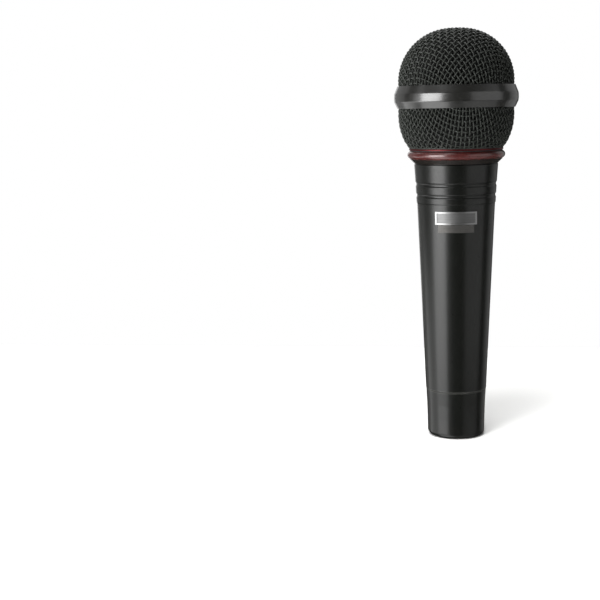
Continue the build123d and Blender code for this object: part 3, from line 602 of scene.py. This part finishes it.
def rubber():
    finish = Finish("rubber", (0.02, 0.02, 0.02), 0.75)
    finish.tint(finish.noise(3 * MM, detail=4.0), (0.015, 0.015, 0.015), (0.032, 0.032, 0.031))
    finish.shine(finish.noise(0.5 * MM, detail=3.0), 0.62, 0.85)
    finish.relief(finish.noise(0.3 * MM, detail=3.0), 0.03 * MM)
    return finish.material


def badge_silver():
    """Satin plate: the raised border is coloured brighter than the field inside it, a painted highlight
    for the light its edges catch.
    """
    finish = Finish("badge_silver", (0.7, 0.7, 0.7), 0.3, metallic=1.0)
    foot_radius = SEAM_RADIUS - GRIP_TAPER * SEAM_HEIGHT  # of the handle's cone, run down to z = 0
    surface = finish.math("MULTIPLY_ADD", finish.split()[2], GRIP_TAPER, foot_radius)
    lift = finish.math("SUBTRACT", finish.radius(), surface)
    border_highlight = finish.ramp(lift, 0.3 * MM, 0.42 * MM)
    brushed = finish.noise(0.25 * MM, detail=3.0, place=finish.stretched(0.04, 0.04, 1.0))
    field = finish.tint(brushed, (0.20, 0.20, 0.20), (0.30, 0.30, 0.30))
    # Painted highlight: the raised border gets a brighter colour than the field.
    finish.tint(border_highlight, field, (0.42, 0.42, 0.42))
    finish.shine(border_highlight, 0.5, 0.4)
    finish.relief(brushed, 0.008 * MM)
    return finish.material


def badge_grey():
    """Strip of satin metallic print, faintly brushed."""
    finish = Finish("badge_grey", (0.3, 0.3, 0.29), 0.42, metallic=0.6)
    brushed = finish.noise(0.3 * MM, detail=3.0, place=finish.stretched(0.04, 0.04, 1.0))
    finish.tint(brushed, (0.075, 0.073, 0.07), (0.13, 0.125, 0.118))
    finish.shine(finish.noise(0.7 * MM, detail=2.0), 0.36, 0.5)
    finish.relief(brushed, 0.006 * MM)
    return finish.material


def moulded(name, dark, light, roughness, grain=0.18 * MM, depth=0.02 * MM):
    """Moulded plastic with the fine spark texture of its tool."""
    finish = Finish(name, dark, roughness)
    finish.tint(finish.noise(4 * MM, detail=3.0), dark, light)
    spark = finish.noise(grain, detail=2.0)
    finish.shine(spark, roughness - 0.08, roughness + 0.12)
    finish.relief(spark, depth)
    return finish.material


def switch_plate_black():
    return moulded(
        "switch_plate_black", (0.012, 0.012, 0.012), (0.02, 0.02, 0.02), 0.34, depth=0.008 * MM
    )


def switch_knob_grey():
    return moulded("switch_knob_grey", (0.085, 0.086, 0.087), (0.12, 0.12, 0.12), 0.45)


def switch_moulding():
    return moulded("switch_moulding", (0.03, 0.03, 0.03), (0.05, 0.05, 0.05), 0.5)


def insulator_black():
    return moulded("insulator_black", (0.016, 0.016, 0.016), (0.03, 0.03, 0.03), 0.46, depth=0.008 * MM)


def capsule_plastic():
    return moulded("capsule_plastic", (0.03, 0.03, 0.03), (0.055, 0.055, 0.054), 0.5)


def black_screws():
    """Black oxide with bare metal showing through where a driver has rubbed."""
    finish = Finish("black_screws", (0.06, 0.06, 0.062), 0.4, metallic=1.0)
    wear_and_highlight = finish.ramp(finish.noise(0.5 * MM, detail=4.0), 0.55, 0.7)
    finish.tint(wear_and_highlight, (0.045, 0.045, 0.047), (0.22, 0.22, 0.22))
    finish.shine(wear_and_highlight, 0.45, 0.28)
    finish.relief(finish.noise(0.12 * MM), 0.006 * MM)
    return finish.material


def nickel():
    finish = Finish("nickel", (0.66, 0.63, 0.58), 0.24, metallic=1.0)
    finish.tint(finish.noise(3 * MM, detail=3.0), (0.58, 0.56, 0.52), (0.72, 0.69, 0.64))
    finish.shine(finish.noise(0.5 * MM, detail=3.0), 0.18, 0.34)
    finish.relief(finish.turning_marks(0.16 * MM), 0.008 * MM)
    return finish.material


def silver_plate():
    """Silver plated contacts with a trace of tarnish."""
    finish = Finish("silver_plate", (0.82, 0.8, 0.76), 0.2, metallic=1.0)
    tarnish = finish.ramp(finish.noise(1.2 * MM, detail=4.0), 0.45, 0.75)
    finish.tint(tarnish, (0.86, 0.85, 0.82), (0.62, 0.55, 0.42))
    finish.shine(tarnish, 0.14, 0.34)
    finish.relief(finish.noise(0.15 * MM), 0.004 * MM)
    return finish.material


def capsule_metal():
    finish = Finish("capsule_metal", (0.6, 0.6, 0.6), 0.36, metallic=1.0)
    finish.tint(finish.noise(4 * MM, detail=3.0), (0.52, 0.52, 0.53), (0.64, 0.64, 0.63))
    finish.shine(finish.noise(0.3 * MM, detail=2.0), 0.3, 0.46)
    finish.relief(finish.turning_marks(0.2 * MM), 0.008 * MM)
    return finish.material


def felt():
    finish = Finish("felt", (0.1, 0.1, 0.1), 0.95, Sheen_Weight=0.4, Sheen_Roughness=0.5)
    fibres = finish.noise(0.25 * MM, detail=5.0, place=finish.stretched(1.0, 0.35, 1.0))
    finish.tint(fibres, (0.05, 0.05, 0.05), (0.16, 0.16, 0.155))
    finish.relief(fibres, 0.12 * MM)
    return finish.material


def board():
    finish = Finish("board", (0.25, 0.15, 0.06), 0.5)
    fibres = finish.noise(0.6 * MM, detail=5.0, place=finish.stretched(0.2, 1.0, 1.0))
    finish.tint(fibres, (0.19, 0.11, 0.045), (0.33, 0.21, 0.09))
    finish.shine(fibres, 0.4, 0.6)
    finish.relief(fibres, 0.02 * MM)
    return finish.material


def magnet_plate():
    finish = Finish("magnet_plate", (0.7, 0.7, 0.7), 0.18, metallic=1.0)
    finish.tint(finish.noise(3 * MM, detail=3.0), (0.64, 0.64, 0.65), (0.76, 0.76, 0.75))
    finish.shine(finish.noise(0.8 * MM, detail=3.0), 0.12, 0.28)
    finish.relief(finish.noise(0.4 * MM), 0.006 * MM)
    return finish.material


def copper_coil():
    """Enamelled wire wound turn upon turn, with painted shade darkening the grooves between the turns.
    """
    finish = Finish(
        "copper_coil", (0.6, 0.28, 0.14), 0.25, metallic=0.9, Coat_Weight=0.6, Coat_Roughness=0.1
    )
    turns = finish.math("SINE", finish.math("MULTIPLY", finish.split()[2], 2 * math.pi / (0.14 * MM)))
    crest_and_groove_shade = finish.math("MULTIPLY_ADD", turns, 0.5, 0.5)
    # Painted shade: darker colour in the grooves between turns, lighter on the crests.
    finish.tint(crest_and_groove_shade, (0.32, 0.11, 0.05), (0.72, 0.34, 0.17))
    finish.shine(crest_and_groove_shade, 0.35, 0.2)
    finish.relief(crest_and_groove_shade, 0.05 * MM)
    return finish.material


def diaphragm_film():
    """Thin amber film with fine radial pleats near its edge."""
    finish = Finish("diaphragm_film", (0.62, 0.52, 0.32), 0.22, Coat_Weight=0.5, Coat_Roughness=0.08)
    x, y, _ = finish.split()
    turn = finish.math("ARCTAN2", y, x)
    pleats = finish.math("SINE", finish.math("MULTIPLY", turn, 60.0))
    near_edge = finish.ramp(finish.radius(), 7.8 * MM, 9.0 * MM)
    finish.tint(finish.noise(2 * MM, detail=3.0), (0.5, 0.4, 0.22), (0.7, 0.6, 0.4))
    finish.shine(finish.noise(0.6 * MM), 0.16, 0.3)
    finish.relief(finish.math("MULTIPLY", pleats, near_edge), 0.08 * MM)
    return finish.material


def lead_insulation():
    """One lead red, the other white, with the slight ripple of stretched vinyl."""
    finish = Finish("lead_insulation", (0.4, 0.03, 0.02), 0.4)
    side = finish.ramp(finish.split()[0], -0.05 * MM, 0.05 * MM)
    finish.tint(side, (0.55, 0.54, 0.5), (0.4, 0.025, 0.02))
    finish.shine(finish.noise(0.5 * MM, detail=2.0), 0.32, 0.5)
    finish.relief(finish.noise(0.6 * MM), 0.02 * MM)
    return finish.material


FINISHES = [
    satin_black_paint,
    grille_wire,
    gloss_black_band,
    red_metallic,
    collar_lacquer,
    zinc_plate,
    neck_metal,
    foam,
    rubber,
    badge_silver,
    badge_grey,
    switch_plate_black,
    switch_knob_grey,
    switch_moulding,
    black_screws,
    nickel,
    insulator_black,
    silver_plate,
    capsule_metal,
    capsule_plastic,
    felt,
    board,
    magnet_plate,
    copper_coil,
    diaphragm_film,
    lead_insulation,
]


def paint_everything(made_pieces):
    """Gives every CAD node and every piece the material of its slot."""
    materials = {make.__name__: make() for make in FINISHES}
    for part in frame["record"]["subparts"]:
        mesh = NODES[part["node"]].data
        mesh.materials.clear()
        mesh.materials.append(materials[part["material_slot"]])
    for piece in made_pieces:
        piece.data.materials.clear()
        piece.data.materials.append(materials[piece["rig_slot"]])


# ---- Floor, light and camera ----
def floor_white():
    """Matt white board with a trace of light of its own."""
    material = bpy.data.materials.new("studio_white")
    material.use_nodes = True
    shader = material.node_tree.nodes["Principled BSDF"]
    shader.inputs["Base Color"].default_value = (0.9, 0.9, 0.89, 1)
    shader.inputs["Roughness"].default_value = 1.0
    shader.inputs["Specular IOR Level"].default_value = 0.0
    shader.inputs["Emission Color"].default_value = (1, 1, 0.985, 1)
    shader.inputs["Emission Strength"].default_value = FLOOR_GLOW
    return material


def make_floor():
    """A pale table top. The lights beyond it also reach under its edges, as in a product tent."""
    front, back, side = -0.32, 0.2, 0.36
    corners = [(-side, front, 0), (side, front, 0), (side, back, 0), (-side, back, 0)]
    floor = new_piece("studio_floor", corners, [(0, 1, 2, 3)], smooth=False)
    floor.data.materials.append(floor_white())
    floor.visible_glossy = False
    floor.visible_shadow = False
    return floor


def softbox(name, azimuth, elevation, width, height, radiance):
    """A rectangular light aimed at the handle. Its place and size are angles as seen from there,
    azimuth 0 in front and positive to the right."""
    turn = math.radians(azimuth)
    lift = math.radians(elevation)
    direction = Vector(
        (math.sin(turn) * math.cos(lift), -math.cos(turn) * math.cos(lift), math.sin(lift))
    )
    lamp = bpy.data.lights.new(name, "AREA")
    lamp.shape = "RECTANGLE"
    lamp.size = 2 * LIGHT_DISTANCE * math.tan(math.radians(width / 2))
    lamp.size_y = 2 * LIGHT_DISTANCE * math.tan(math.radians(height / 2))
    lamp.energy = radiance * math.pi * lamp.size * lamp.size_y
    light = bpy.data.objects.new(name, lamp)
    light.location = LIGHT_AIM + direction * LIGHT_DISTANCE
    light.rotation_euler = (-direction).to_track_quat("-Z", "Y").to_euler()
    light.visible_camera = False
    bpy.context.scene.collection.objects.link(light)
    return light


def make_lights(floor):
    """The floor has two lights of its own, so that its brightness doesn't change the object."""
    for settings in SOFTBOXES:
        softbox(*settings)
    floor_only = bpy.data.collections.new("floor_only")
    floor_only.objects.link(floor)
    for settings in FLOOR_SOFTBOXES:
        light = softbox(*settings)
        light.light_linking.receiver_collection = floor_only


def make_world():
    """White backdrop for the camera, a dim grey room for everything else."""
    world = bpy.data.worlds.new("studio_world")
    bpy.context.scene.world = world
    world.use_nodes = True
    tree = world.node_tree
    tree.nodes.clear()
    output = tree.nodes.new("ShaderNodeOutputWorld")
    mix = tree.nodes.new("ShaderNodeMixShader")
    path = tree.nodes.new("ShaderNodeLightPath")
    room = tree.nodes.new("ShaderNodeBackground")
    room.inputs["Color"].default_value = (*ROOM_LIGHT, 1)
    backdrop = tree.nodes.new("ShaderNodeBackground")
    backdrop.inputs["Color"].default_value = (1, 1, 1, 1)
    tree.links.new(path.outputs["Is Camera Ray"], mix.inputs[0])
    tree.links.new(room.outputs[0], mix.inputs[1])
    tree.links.new(backdrop.outputs[0], mix.inputs[2])
    tree.links.new(mix.outputs[0], output.inputs["Surface"])


def make_camera():
    distance = 0.55
    height = 0.147
    yaw = math.radians(7.315)
    pitch = math.radians(8.793)
    roll = math.radians(1.124)
    data = bpy.data.cameras.new("camera")
    data.sensor_width = 36.0
    data.lens = 73.8
    camera = bpy.data.objects.new("camera", data)
    turned = Matrix.Rotation(yaw, 4, "Z") @ Matrix.Rotation(QUARTER - pitch, 4, "X")
    rolled = turned @ Matrix.Rotation(-roll, 4, "Z")
    camera.matrix_world = Matrix.Translation((0, -distance, height)) @ rolled
    bpy.context.scene.collection.objects.link(camera)
    bpy.context.scene.camera = camera


def set_tones():
    view = bpy.context.scene.view_settings
    view.view_transform = "Standard"
    view.look = "None"
    view.exposure = 0.0
    view.gamma = 1.0


make_camera()
grille_pieces = build_grille()
foam_pieces = build_foam()
paint_everything(grille_pieces + foam_pieces)
make_lights(make_floor())
make_world()
set_tones()
